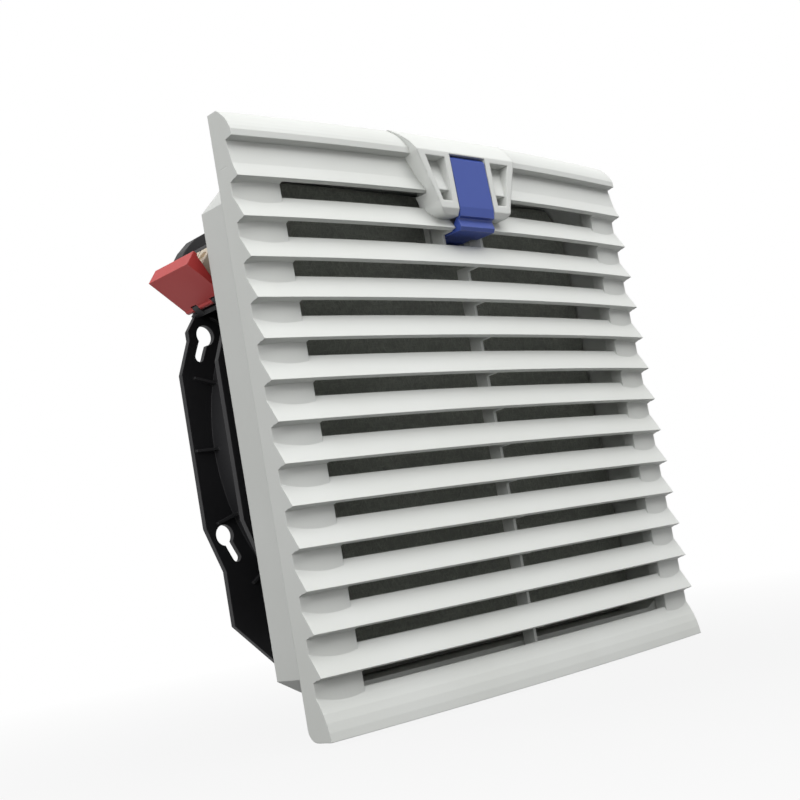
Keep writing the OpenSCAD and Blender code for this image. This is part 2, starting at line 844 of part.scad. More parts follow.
module rear_guard() {
    rings = floor((duct_r - plate_r) / ring_step);
    color("#1d1e20")
        difference() {
            union() {
                about_y()
                    translate([rim_r - 3, fan_end])
                        square([3, guard_t]);
                for (k = [1:rings])
                    about_y()
                        translate([plate_r + k * ring_step - 1, guard_y(plate_r + k * ring_step) - guard_t])
                            square([2, guard_t - 0.5]);
                about_y()
                    translate([plate_in, flange_back])
                        square([plate_r - plate_in, guard_plate_t]);
                for (k = [0:7])
                    at_angle(term_angle + 45 * k)
                        translate([0, 0, -1.6])
                            linear_extrude(3.2)
                                polygon([[plate_r - 1, guard_end], [rim_r - 1, guard_y(rim_r - 1)],
                                    [rim_r - 1, guard_y(rim_r - 1) - guard_t],
                                    [plate_r - 1, guard_end - guard_t]]);
                for (a = screw_angles())
                    at_angle(a) {
                        translate([screw_ring, 0, 0])
                            rod_y(screw_r + 2.6, fan_end, fan_end + guard_lug_t);
                        block([rim_r - 2, fan_end, -screw_r - 2.6],
                            [screw_ring, fan_end + guard_lug_t, screw_r + 2.6]);
                    }
            }
            for (a = screw_angles())
                at_angle(a)
                    translate([screw_ring, 0, 0])
                        rod_y(screw_r + 0.2, fan_end - past, fan_end + guard_lug_t + past);
            for (k = [0:3])
                at_angle(90 * k)
                    translate([bolt_ring, 0, 0])
                        rod_y(screw_r + 0.2, flange_back - past, guard_end + past);
            at_angle(term_angle)
                translate([grommet_r, 0, 0])
                    rod_y(lead_r + 1.4, flange_back - past, guard_end + past);
        }
}

module pan_screw(y, grip) {
    rod_y(screw_r, y - grip, y);
    rotate([-90, 0, 0])
        translate([0, 0, y])
            rotate_extrude($fn = 48)
                polygon([[0, 0], [screw_r + screw_head, 0], [screw_r + screw_head - 0.2, 1.4],
                    [screw_r, 2.2], [0, 2.4]]);
}

module guard_screws() {
    color("#9a9ea3")
        for (a = screw_angles())
            at_angle(a)
                translate([screw_ring, 0, 0])
                    pan_screw(fan_end + guard_lug_t, screw_grip + guard_lug_t);
}

module motor_screws() {
    color("#9a9ea3")
        for (k = [0:3])
            at_angle(90 * k)
                translate([bolt_ring, 0, 0])
                    pan_screw(guard_end, guard_plate_t + disc_t - 0.4);
}

// Motor

module motor_flange() {
    color("#a9acb0")
        difference() {
            about_y()
                polygon([[bearing_r, tube_y], [bearing_r + tube_t, tube_y], [bearing_r + tube_t, disc_y - 3],
                    [bearing_r + tube_t + 3, disc_y], [disc_r, disc_y], [disc_r, flange_back],
                    [bearing_r, flange_back]]);
            for (k = [0:3])
                at_angle(90 * k)
                    translate([bolt_ring, 0, 0])
                        rod_y(screw_r, disc_y - past, flange_back + past);
            at_angle(term_angle)
                translate([grommet_r, 0, 0])
                    rod_y(lead_r, disc_y - past, flange_back + past);
        }
}

module stator_slot(width, out) {
    for (k = [0:slot_n - 1])
        at_angle(360 / slot_n * (k + 0.5))
            block([bearing_r + tube_t + 5, -fan_end, -width / 2], [out, 3 * fan_end, width / 2]);
}

module stator_core() {
    color("#7c8288")
        difference() {
            about_y()
                translate([bearing_r + tube_t, stator_y])
                    square([stator_r - bearing_r - tube_t, stator_l]);
            stator_slot(7, stator_r - 3.4);
            stator_slot(2.4, stator_r + past);
        }
}

module stator_windings() {
    color("#b5713a")
        for (k = [0:slot_n - 1])
            at_angle(360 / slot_n * (k + 0.5))
                block([bearing_r + tube_t + 5.2, stator_y - coil_over, -3.3],
                    [stator_r - 3.6, stator_y + stator_l + coil_over, 3.3]);
}

module ball_bearings() {
    color("#c3c7cc")
        for (y = [tube_y, rear_bearing_y])
            about_y()
                polygon([[shaft_r + run_gap, y], [shaft_r + 1.8, y], [shaft_r + 2.2, y + 0.5],
                    [bearing_r - 2.2, y + 0.5], [bearing_r - 1.8, y], [bearing_r, y],
                    [bearing_r, y + bearing_w], [bearing_r - 1.8, y + bearing_w],
                    [bearing_r - 2.2, y + bearing_w - 0.5], [shaft_r + 2.2, y + bearing_w - 0.5],
                    [shaft_r + 1.8, y + bearing_w], [shaft_r + run_gap, y + bearing_w]]);
}

module motor_shaft() {
    color("#b9bcc0")
        rod_y(shaft_r, rotor_y + 0.5, flange_back + 0.4);
}

module shaft_circlip() {
    y = rear_bearing_y + bearing_w + free_gap;
    color("#6f757b")
        difference() {
            about_y()
                translate([shaft_r, y])
                    square([2.2, 0.8]);
            block([shaft_r - 1, y - past, -1.2], [shaft_r + 4, y + 2, 1.2]);
        }
}

module rotor_cup() {
    color("#50555a")
        about_y()
            polygon([[shaft_r, rotor_y], [rotor_r - 3, rotor_y], [rotor_r, rotor_y + 3], [rotor_r, rotor_end],
                [rotor_r - rotor_t, rotor_end], [rotor_r - rotor_t, rotor_y + 4.4],
                [rotor_r - rotor_t - 2, rotor_y + rotor_t], [boss_r, rotor_y + rotor_t],
                [boss_r, rotor_y + rotor_t + boss_l], [shaft_r, rotor_y + rotor_t + boss_l]]);
}

// Section of a blade at a share of its length: a cambered plate wrapped on its radius
function blade_ring(s) =
    let (r = (hub_r - 1) + (duct_r - tip_gap - hub_r + 1) * s,
        pitch = pitch_root + (pitch_tip - pitch_root) * s,
        chord = chord_root + (chord_tip - chord_root) * s,
        thick = blade_root_t + (blade_tip_t - blade_root_t) * s, sweep = blade_sweep * s * s,
        side = [for (k = [-3:3]) k / 3],
        outline = concat(
            [for (u = side) [u * chord / 2, (blade_camber - thick / 2) * (1 - u * u) - blade_edge]],
            [for (u = flip(side)) [u * chord / 2, (blade_camber + thick / 2) * (1 - u * u) + blade_edge]]))
    [for (p = outline)
        let (axial = p[0] * sin(pitch) + p[1] * cos(pitch),
            around = sweep + (p[0] * cos(pitch) - p[1] * sin(pitch)) / r * 180 / PI)
        [r * cos(around), blade_y + axial, r * sin(around)]];

// Skin over a row of closed rings
module loft(rings) {
    n = len(rings[0]);
    m = len(rings);
    points = [for (ring = rings, p = ring) p];
    skin = [for (j = [0:m - 2], k = [0:n - 1], h = [0, 1])
        let (a = j * n + k, b = j * n + (k + 1) % n)
        h == 0 ? [a, b, b + n] : [a, b + n, a + n]];
    cap = [for (k = [0:n / 2 - 2], h = [0, 1]) h == 0 ? [k, k + 1, n - 2 - k] : [k, n - 2 - k, n - 1 - k]];
    last = (m - 1) * n;
    polyhedron(points, concat(skin, [for (t = cap) flip(t)],
        [for (t = cap) [t[0] + last, t[1] + last, t[2] + last]]));
}

module impeller() {
    color("#26282b") {
        about_y()
            translate([rotor_r, rotor_y + hub_in])
                square([hub_t, rotor_end - rotor_y - 2 * hub_in]);
        for (k = [0:blade_n - 1])
            at_angle(360 / blade_n * k)
                loft([for (j = [0:blade_stations]) blade_ring(j / blade_stations)]);
    }
}

// Terminal

module terminal_block() {
    top = floor_r + block_l;
    y0 = fan_y + cover_t + free_gap;
    y1 = fan_end - cover_t - free_gap;
    step = (y1 - y0) / 3;
    color("#ddd3bd")
        at_angle(term_angle)
            difference() {
                block([floor_r, y0, term_low], [top, y1, term_high]);
                for (k = [0:2])
                    translate([0, y0 + step * (k + 0.5), 0]) {
                        block([floor_r + 10, -2.6, term_high - 7], [floor_r + 15.2, 2.6, term_high + past]);
                        translate([top - 5, 0, term_low + 4.6])
                            rotate([0, 90, 0])
                                cylinder(r = 2.3, h = 5 + past, $fn = 32);
                    }
                for (k = [1, 2])
                    block([top - 6, y0 + step * k - 0.5, term_low - past],
                        [top + past, y0 + step * k + 0.5, term_high + past]);
                translate([floor_r + 9, 0, 0])
                    rod_y(lead_r, y1 - 5, y1 + past);
                block([floor_r - past, y0 - past, cover_z - knuckle_r - free_gap],
                    [cover_x + knuckle_r + free_gap, y1 + past, term_high + past]);
            }
}

module terminal_screws() {
    top = floor_r + block_l;
    y0 = fan_y + cover_t + free_gap;
    step = (fan_d - 2 * cover_t - 2 * free_gap) / 3;
    color("#c9b27a")
        at_angle(term_angle)
            for (k = [0:2])
                translate([top - 5, y0 + step * (k + 0.5), term_low + 4.6])
                    rotate([0, 90, 0])
                        difference() {
                            cylinder(r = 2.1, h = 3.4, $fn = 32);
                            translate([-0.4, -3, 2.4])
                                cube([0.8, 6, 2]);
                        }
}

module cover_pin() {
    color("#b9bcc0")
        at_angle(term_angle)
            translate([cover_x, 0, cover_z])
                rod_y(cover_pin_r, fan_y + 0.5, fan_end - 0.5, 32);
}

module terminal_cover() {
    lip = cover_out - cover_lip;
    gap = free_gap;
    color("#b04848")
        at_angle(term_angle)
            difference() {
                union() {
                    block([cover_x + 1, fan_y, cover_in], [cover_r, fan_end, cover_out]);
                    block([cover_r - cover_t, fan_y, lip], [cover_r, fan_end, cover_out]);
                    for (y = [fan_y, fan_end - cover_t])
                        along_y(y, y + cover_t)
                            polygon([[cover_r - 15, cover_in + 0.1], [cover_r, lip], [cover_r, cover_out],
                                [cover_r - 15, cover_out]]);
                    translate([cover_x, 0, cover_z])
                        rod_y(knuckle_r, fan_y, fan_end);
                }
                for (y = ear_y)
                    block([floor_r, y - gap, cover_in - 4],
                        [cover_x + knuckle_r + gap, y + ear_w + gap, cover_out + past]);
                translate([cover_x, 0, cover_z])
                    rod_y(cover_pin_r + run_gap, fan_y - past, fan_end + past);
            }
}

// Motor lead: out of the motor, along a strut and into the terminal block, as radius and Y
function lead_route() =
    let (rest = lead_r + 0.3, r1 = grommet_r, r2 = floor_r + 9, top = guard_end + 7.4,
        down = fan_end - cover_t - free_gap - 4.5)
    [[r1, flange_back - 1], [r1, guard_end + 1.4], [r1 + 1, guard_end + 4.2], [r1 + 3.2, guard_end + 6.4],
        [r1 + 6.4, top], [r1 + 11, guard_end + 7], [plate_r, guard_y(plate_r) + rest + 2],
        [(plate_r + rim_r) / 2, guard_y((plate_r + rim_r) / 2) + rest],
        [rim_r - 8, guard_y(rim_r - 8) + rest], [rim_r + 2, guard_y(rim_r) + rest - 0.6],
        [r2 - 9, fan_end + 6.4], [r2 - 4, fan_end + 5.2], [r2 - 1, fan_end + 2.6],
        [r2, fan_end - 0.6], [r2, down]];

function lead_ring(route, i) =
    let (a = route[max(i - 1, 0)], b = route[min(i + 1, len(route) - 1)], w = (b - a) / norm(b - a))
    [for (k = [0:7]) let (c = lead_r * cos(45 * k), s = lead_r * sin(45 * k))
        [route[i][0] - w[1] * c, route[i][1] + w[0] * c, s]];

module motor_lead() {
    route = lead_route();
    color("#2b2d30")
        at_angle(term_angle)
            loft([for (i = [0:len(route) - 1]) lead_ring(route, i)]);
}

module lead_grommet() {
    color("#2a2a2a")
        at_angle(term_angle)
            translate([grommet_r, 0, 0])
                rotate([-90, 0, 0])
                    rotate_extrude($fn = 32)
                        polygon([[lead_r + 0.1, flange_back], [lead_r + 1.4, flange_back],
                            [lead_r + 1.4, guard_end], [lead_r + 2.4, guard_end],
                            [lead_r + 1.8, guard_end + 1.2], [lead_r + 0.1, guard_end + 1.2]]);
}

mounting_frame();
door_gasket();
snap_clips();
hinge_pins();
bayonet_studs();
filter_mat();
louvre_grille();
grip_frame();
latch_pin();
latch_spring();
latch();
fan_housing();
rear_guard();
guard_screws();
motor_flange();
motor_screws();
stator_core();
stator_windings();
ball_bearings();
lead_grommet();
motor_lead();
terminal_block();
terminal_screws();
cover_pin();
impeller();
rotor_cup();
motor_shaft();
shaft_circlip();
terminal_cover();
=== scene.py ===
"""Cabinet filter fan: finishes, fine detail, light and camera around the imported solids."""
import json
import math
import random

import bmesh
import bpy
from mathutils import Matrix, Vector, noise


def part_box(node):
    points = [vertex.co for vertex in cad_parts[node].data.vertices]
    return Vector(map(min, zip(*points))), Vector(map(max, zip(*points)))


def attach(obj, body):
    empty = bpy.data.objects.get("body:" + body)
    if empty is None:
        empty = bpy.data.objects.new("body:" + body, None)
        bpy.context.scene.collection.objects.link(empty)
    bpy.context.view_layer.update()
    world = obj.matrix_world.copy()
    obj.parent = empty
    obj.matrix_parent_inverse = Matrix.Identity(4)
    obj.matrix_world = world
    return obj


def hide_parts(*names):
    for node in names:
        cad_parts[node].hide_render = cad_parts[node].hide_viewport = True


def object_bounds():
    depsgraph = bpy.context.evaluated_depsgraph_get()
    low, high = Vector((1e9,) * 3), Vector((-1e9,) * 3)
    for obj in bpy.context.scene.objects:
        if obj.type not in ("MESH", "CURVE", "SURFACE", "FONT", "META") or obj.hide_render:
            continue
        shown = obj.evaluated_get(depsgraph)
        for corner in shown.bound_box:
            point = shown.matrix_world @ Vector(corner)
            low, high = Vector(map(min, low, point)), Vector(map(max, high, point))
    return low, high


MM = 0.001

# The photograph's camera, fitted to the panel: place in metres, axes as unit vectors, frame in pixels.
PHOTO_SIDE = 800
FOCAL_PX = 1258.725
OPTICAL_AXIS_PX = (409.433, 433.396)
SENSOR_MM = 36.0
CAMERA_AT = (-0.43502, -0.39528, -0.06498)
CAMERA_RIGHT = (0.7126, -0.6800, -0.1727)
CAMERA_DOWN = (-0.0542, 0.1921, -0.9799)
CAMERA_AHEAD = (0.6995, 0.7076, 0.1000)

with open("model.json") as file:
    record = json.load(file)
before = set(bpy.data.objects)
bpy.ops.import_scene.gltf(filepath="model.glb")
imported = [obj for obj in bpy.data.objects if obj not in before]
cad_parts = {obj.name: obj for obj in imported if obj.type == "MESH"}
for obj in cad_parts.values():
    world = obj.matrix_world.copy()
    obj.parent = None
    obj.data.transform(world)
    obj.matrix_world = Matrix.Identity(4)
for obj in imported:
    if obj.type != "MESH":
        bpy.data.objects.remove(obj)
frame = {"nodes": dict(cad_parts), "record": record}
cad_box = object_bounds()
scene = bpy.context.scene


# Colour

def paint(red, green, blue):
    """A colour picked on screen, 0 to 255, as the linear colour that a shader takes."""
    def linear(value):
        value /= 255
        return value / 12.92 if value <= 0.04045 else ((value + 0.055) / 1.055) ** 2.4
    return (linear(red), linear(green), linear(blue), 1.0)


# Shared effects, as node groups

def new_group(name, inputs, outputs):
    """An empty shader node group with float inputs that have defaults, and typed outputs."""
    group = bpy.data.node_groups.new(name, "ShaderNodeTree")
    for label, value in inputs:
        socket = group.interface.new_socket(label, in_out="INPUT", socket_type="NodeSocketFloat")
        socket.default_value = value
    for label, kind in outputs:
        group.interface.new_socket(label, in_out="OUTPUT", socket_type=kind)
    return group, group.nodes.new("NodeGroupInput"), group.nodes.new("NodeGroupOutput")


def noise_node(group, coordinate, detail=2.0, roughness=0.5):
    """A noise texture that reads the object's own coordinates."""
    texture = group.nodes.new("ShaderNodeTexNoise")
    texture.inputs["Detail"].default_value = detail
    texture.inputs["Roughness"].default_value = roughness
    group.links.new(coordinate, texture.inputs["Vector"])
    return texture


def math_node(group, operation, first, second):
    """A math node whose two inputs are sockets or numbers."""
    node = group.nodes.new("ShaderNodeMath")
    node.operation = operation
    for socket, value in zip(node.inputs, (first, second)):
        if isinstance(value, (int, float)):
            socket.default_value = value
        else:
            group.links.new(value, socket)
    return node.outputs[0]


def map_range(group, value, low, high, out_low, out_high):
    """A clamped change of range whose ends are sockets or numbers."""
    node = group.nodes.new("ShaderNodeMapRange")
    group.links.new(value, node.inputs["Value"])
    ends = {"From Min": low, "From Max": high, "To Min": out_low, "To Max": out_high}
    for name, end in ends.items():
        if isinstance(end, (int, float)):
            node.inputs[name].default_value = end
        else:
            group.links.new(end, node.inputs[name])
    return node.outputs["Result"]


def mould_grain_group():
    """Fine spark-eroded grain of a moulded face, with slow drift of tone and gloss."""
    group, given, result = new_group(
        "Mould grain",
        [("Grain Size", 900.0), ("Drift Size", 14.0)],
        [("Height", "NodeSocketFloat"), ("Drift", "NodeSocketFloat")])
    place = group.nodes.new("ShaderNodeTexCoord").outputs["Object"]
    grain = noise_node(group, place, detail=3.0, roughness=0.6)
    group.links.new(given.outputs["Grain Size"], grain.inputs["Scale"])
    drift = noise_node(group, place, detail=4.0, roughness=0.55)
    group.links.new(given.outputs["Drift Size"], drift.inputs["Scale"])
    slow = map_range(group, drift.outputs["Fac"], 0.3, 0.7, 0.0, 1.0)
    group.links.new(grain.outputs["Fac"], result.inputs["Height"])
    group.links.new(slow, result.inputs["Drift"])
    return group


def edge_wear_and_highlight_group():
    """Mask of outer edges, to be painted paler both as wear and as a painted highlight: where a rounded
    normal leaves the face's own normal, broken up by noise.
    """
    group, given, result = new_group(
        "Edge wear and highlight", [("Width", 0.0008), ("Break Up", 180.0)], [("Mask", "NodeSocketFloat")])
    bevel = group.nodes.new("ShaderNodeBevel")
    bevel.samples = 4
    group.links.new(given.outputs["Width"], bevel.inputs["Radius"])
    surface = group.nodes.new("ShaderNodeNewGeometry")
    dot = group.nodes.new("ShaderNodeVectorMath")
    dot.operation = "DOT_PRODUCT"
    group.links.new(bevel.outputs["Normal"], dot.inputs[0])
    group.links.new(surface.outputs["Normal"], dot.inputs[1])
    place = group.nodes.new("ShaderNodeTexCoord").outputs["Object"]
    breaks = noise_node(group, place, detail=3.0)
    group.links.new(given.outputs["Break Up"], breaks.inputs["Scale"])
    edge = map_range(group, dot.outputs["Value"], 0.99, 0.86, 0.0, 1.0)
    patch = map_range(group, breaks.outputs["Fac"], 0.38, 0.62, 0.15, 1.0)
    group.links.new(math_node(group, "MULTIPLY", edge, patch), result.inputs["Mask"])
    return group


MOULD_GRAIN = mould_grain_group()
EDGE_WEAR_AND_HIGHLIGHT = edge_wear_and_highlight_group()


# Finishes

# Width of the pale edges, which are partly wear and partly a painted highlight
EDGE_WEAR_AND_HIGHLIGHT_WIDTH = 0.6 * MM
EDGE_ROUND = 0.5 * MM
GRIP_EDGE_ROUND = 1.1 * MM
GRAIN_SIZE = 900.0
GRAIN_DEPTH = 0.04 * MM
GRAIN_BUMP = 0.35
STREAK_DEPTH = 0.02 * MM
STREAK_BUMP = 0.2
FIBRE_DEPTH = 0.5 * MM
FIBRE_BUMP = 0.5


def new_finish(name):
    """A material, its node tree and its main shader."""
    material = bpy.data.materials.new(name)
    material.use_nodes = True
    tree = material.node_tree
    return material, tree, tree.nodes["Principled BSDF"]


def place_group(tree, group, **values):
    """A group in a material, with its own input values."""
    node = tree.nodes.new("ShaderNodeGroup")
    node.node_tree = group
    for name, value in values.items():
        node.inputs[name.replace("_", " ")].default_value = value
    return node


def mix_colour(tree, factor, first, second):
    """A colour mix between two sockets or colours."""
    node = tree.nodes.new("ShaderNodeMix")
    node.data_type = "RGBA"
    tree.links.new(factor, node.inputs["Factor"])
    for socket, value in zip((node.inputs[6], node.inputs[7]), (first, second)):
        if isinstance(value, tuple):
            socket.default_value = value
        else:
            tree.links.new(value, socket)
    return node.outputs[2]


def add_bump(tree, shader, height, depth, strength, edge_round=0.0):
    """A bump on the shader's normal, over softly rounded edges where a width is given: both in metres."""
    bump = tree.nodes.new("ShaderNodeBump")
    bump.inputs["Strength"].default_value = strength
    bump.inputs["Distance"].default_value = depth
    tree.links.new(height, bump.inputs["Height"])
    if edge_round:
        soft = tree.nodes.new("ShaderNodeBevel")
        soft.samples = 6
        soft.inputs["Radius"].default_value = edge_round
        tree.links.new(soft.outputs["Normal"], bump.inputs["Normal"])
    tree.links.new(bump.outputs["Normal"], shader.inputs["Normal"])


def moulded_plastic(name, body, shade, worn_and_lit_edge_colour, gloss, grain=GRAIN_SIZE, depth=GRAIN_DEPTH, bump=GRAIN_BUMP,
                    edge_round=EDGE_ROUND):
    """Injection-moulded plastic: body colour drifting to a shade, pale edges painted both as wear and as a
    highlight, fine grain.
    """
    material, tree, shader = new_finish(name)
    mould = place_group(tree, MOULD_GRAIN, Grain_Size=grain)
    worn_and_lit_edges = place_group(tree, EDGE_WEAR_AND_HIGHLIGHT, Width=EDGE_WEAR_AND_HIGHLIGHT_WIDTH)
    colour = mix_colour(tree, mould.outputs["Drift"], body, shade)
    # Pale edge colour: partly wear, partly a painted highlight laid along every edge
    colour = mix_colour(tree, worn_and_lit_edges.outputs["Mask"], colour, worn_and_lit_edge_colour)
    tree.links.new(colour, shader.inputs["Base Color"])
    roughness = map_range(tree, mould.outputs["Drift"], 0.0, 1.0, gloss[0], gloss[1])
    tree.links.new(roughness, shader.inputs["Roughness"])
    shader.inputs["Specular IOR Level"].default_value = 0.4
    add_bump(tree, shader, mould.outputs["Height"], depth, bump, edge_round)
    return material


def bare_metal(name, body, shade, gloss, lines=(900.0, 60.0, 900.0)):
    """Ground or plated metal: fine stretched lines in tone and gloss."""
    material, tree, shader = new_finish(name)
    place = tree.nodes.new("ShaderNodeTexCoord").outputs["Object"]
    stretch = tree.nodes.new("ShaderNodeMapping")
    stretch.inputs["Scale"].default_value = lines
    tree.links.new(place, stretch.inputs["Vector"])
    streak = noise_node(tree, stretch.outputs["Vector"], detail=3.0)
    streak.inputs["Scale"].default_value = 1.0
    tree.links.new(mix_colour(tree, streak.outputs["Fac"], body, shade), shader.inputs["Base Color"])
    roughness = map_range(tree, streak.outputs["Fac"], 0.3, 0.7, gloss[0], gloss[1])
    tree.links.new(roughness, shader.inputs["Roughness"])
    shader.inputs["Metallic"].default_value = 1.0
    add_bump(tree, shader, streak.outputs["Fac"], STREAK_DEPTH, STREAK_BUMP)
    return material


def filter_fibre(name, dark, pale):
    """Loose polyester fibre: three layers of crossed strands, with a slow drift of dust."""
    material, tree, shader = new_finish(name)
    place = tree.nodes.new("ShaderNodeTexCoord").outputs["Object"]
    strands = []
    for turn, lengthwise in ((0.5, 300.0), (1.6, 260.0), (2.6, 340.0)):
        lay = tree.nodes.new("ShaderNodeMapping")
        lay.inputs["Rotation"].default_value = (0.0, turn, 0.0)
        tree.links.new(place, lay.inputs["Vector"])
        draw = tree.nodes.new("ShaderNodeMapping")
        draw.inputs["Scale"].default_value = (1900.0, 900.0, lengthwise)
        tree.links.new(lay.outputs["Vector"], draw.inputs["Vector"])
        strand = noise_node(tree, draw.outputs["Vector"], detail=2.0)
        strand.inputs["Scale"].default_value = 1.0
        strand.inputs["Distortion"].default_value = 0.6
        strands.append(strand.outputs["Fac"])
    fleece = math_node(tree, "MAXIMUM", math_node(tree, "MAXIMUM", strands[0], strands[1]), strands[2])
    mould = place_group(tree, MOULD_GRAIN, Drift_Size=32.0)
    tone = map_range(tree, fleece, 0.44, 0.78, 0.0, 1.0)
    dusty = math_node(tree, "MULTIPLY", mould.outputs["Drift"], 0.35)
    tone = math_node(tree, "SUBTRACT", tone, dusty)
    tree.links.new(mix_colour(tree, tone, dark, pale), shader.inputs["Base Color"])
    shader.inputs["Roughness"].default_value = 0.95
    shader.inputs["Specular IOR Level"].default_value = 0.15
    shader.inputs["Sheen Weight"].default_value = 0.25
    add_bump(tree, shader, fleece, FIBRE_DEPTH, FIBRE_BUMP)
    return material


# Each moulding: body colour, drifted tone, pale edge colour (partly wear, partly painted highlight), gloss
# range
GREY = moulded_plastic(
    "grey moulding", paint(214, 216, 213), paint(208, 210, 206), paint(226, 227, 224), (0.46, 0.56))
GRIP = moulded_plastic(
    "grey grip moulding", paint(216, 218, 215), paint(210, 212, 208), paint(228, 229, 226), (0.44, 0.54),
    edge_round=GRIP_EDGE_ROUND)
SEAM = moulded_plastic(
    "grey seam", paint(214, 216, 213), paint(208, 210, 206), paint(214, 216, 213), (0.46, 0.56),
    edge_round=0.0)
BLUE = moulded_plastic(
    "blue latch moulding", paint(56, 79, 160), paint(49, 70, 147), paint(96, 116, 190), (0.36, 0.46))
BLACK = moulded_plastic(
    "black housing moulding", paint(24, 24, 26), paint(30, 30, 32), paint(38, 38, 40), (0.46, 0.6))
RED = moulded_plastic(
    "red cover moulding", paint(200, 66, 64), paint(188, 57, 56), paint(222, 120, 116), (0.38, 0.5))
BEIGE = moulded_plastic(
    "beige terminal moulding", paint(226, 216, 196), paint(214, 203, 182), paint(236, 228, 212), (0.5, 0.6))
FOAM = moulded_plastic(
    "gasket foam", paint(40, 41, 43), paint(54, 55, 57), paint(60, 61, 63), (0.9, 0.97),
    grain=500.0, depth=0.3 * MM, bump=0.8)
RUBBER = moulded_plastic(
    "lead rubber", paint(34, 34, 36), paint(42, 42, 44), paint(56, 56, 58), (0.55, 0.66))
CUP = moulded_plastic(
    "painted rotor cup", paint(30, 31, 33), paint(38, 39, 41), paint(84, 86, 90), (0.3, 0.4))
BRIGHT = bare_metal("ground steel", paint(196, 198, 202), paint(166, 169, 174), (0.22, 0.36))
PLATED = bare_metal("plated steel", paint(150, 153, 158), paint(120, 124, 130), (0.32, 0.46))
CAST = bare_metal(
    "die cast aluminium", paint(178, 180, 184), paint(150, 153, 158), (0.45, 0.6),
    lines=(160.0, 160.0, 160.0))
COPPER = bare_metal(
    "enamelled copper", paint(176, 104, 56), paint(140, 76, 38), (0.3, 0.42), lines=(120.0, 1800.0, 120.0))
BRASS = bare_metal("brass screw", paint(206, 178, 112), paint(176, 148, 84), (0.26, 0.4))
FIBRE = filter_fibre("filter fibre", paint(146, 149, 142), paint(186, 189, 181))

SLOT_FINISH = {
    "grey_plastic": GREY, "blue_plastic": BLUE, "black_plastic": BLACK, "red_plastic": RED,
    "beige_plastic": BEIGE, "filter_fibre": FIBRE, "gasket_foam": FOAM, "black_rubber": RUBBER,
    "bright_steel": BRIGHT, "spring_steel": PLATED, "cast_aluminium": CAST, "painted_cup": CUP,
    "copper_wire": COPPER, "brass_screw": BRASS,
}

# Finishes of single nodes that differ from their slot's
NODE_FINISH = {"grip_frame": GRIP}


def dress(name, node):
    """Gives a CAD node its own finish, or the finish of its slot."""
    slot = next(s["material_slot"] for s in frame["record"]["subparts"] if s["node"] == name)
    node.data.materials.clear()
    node.data.materials.append(NODE_FINISH.get(name, SLOT_FINISH[slot]))


for name, node in frame["nodes"].items():
    dress(name, node)


# Pieces shaped here

def shaped_mesh(form, name, flat_ends=False):
    """The mesh of a form: faces turned outwards and smooth, apart from flat ends where it has them."""
    bmesh.ops.recalc_face_normals(form, faces=form.faces)
    for face in form.faces:
        face.smooth = not (flat_ends and len(face.verts) != 4)
    mesh = bpy.data.meshes.new(name)
    form.to_mesh(mesh)
    form.free()
    return mesh


def new_piece(name, mesh, finish, body):
    """An object of the scene with its finish, which moves with a body."""
    mesh.materials.append(finish)
    piece = bpy.data.objects.new(name, mesh)
    scene.collection.objects.link(piece)
    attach(piece, body)
    return piece


# Filter mat

MAT_TOP_CUT = 11.5 * MM
MAT_LOW_CUT = 5.3 * MM
MAT_LOW_RUN = 10.1 * MM
MAT_EDGE = 4.0 * MM
MAT_CELLS = 132
MAT_RINGS = 5
FRONT_RELIEF = 0.9 * MM
BACK_RELIEF = 0.25 * MM
FIBRE_COUNT = 520
FIBRE_FIELD = 96 * MM
FIBRE_STEPS = 5
FIBRE_CORNERS = (0.5, 2.6, 4.7)


def mat_reach(z, low, high, half):
    """Half width of the mat at a height: its four corners are cut."""
    if z > high - MAT_TOP_CUT:
        return half - (z - high + MAT_TOP_CUT)
    if z < low + MAT_LOW_CUT:
        return half - MAT_LOW_RUN * (low + MAT_LOW_CUT - z) / MAT_LOW_CUT
    return half


def fleece_height(x, z):
    """Unevenness of the mat's front, 0 to 1: soft lumps with finer tufts on them."""
    lumps = noise.fractal(Vector((x * 38, 0.0, z * 38)), 1.0, 2.0, 3)
    tufts = noise.fractal(Vector((x * 210, 4.0, z * 210)), 0.8, 2.1, 2)
    return min(max(0.5 + 0.32 * lumps + 0.22 * tufts, 0.0), 1.0)


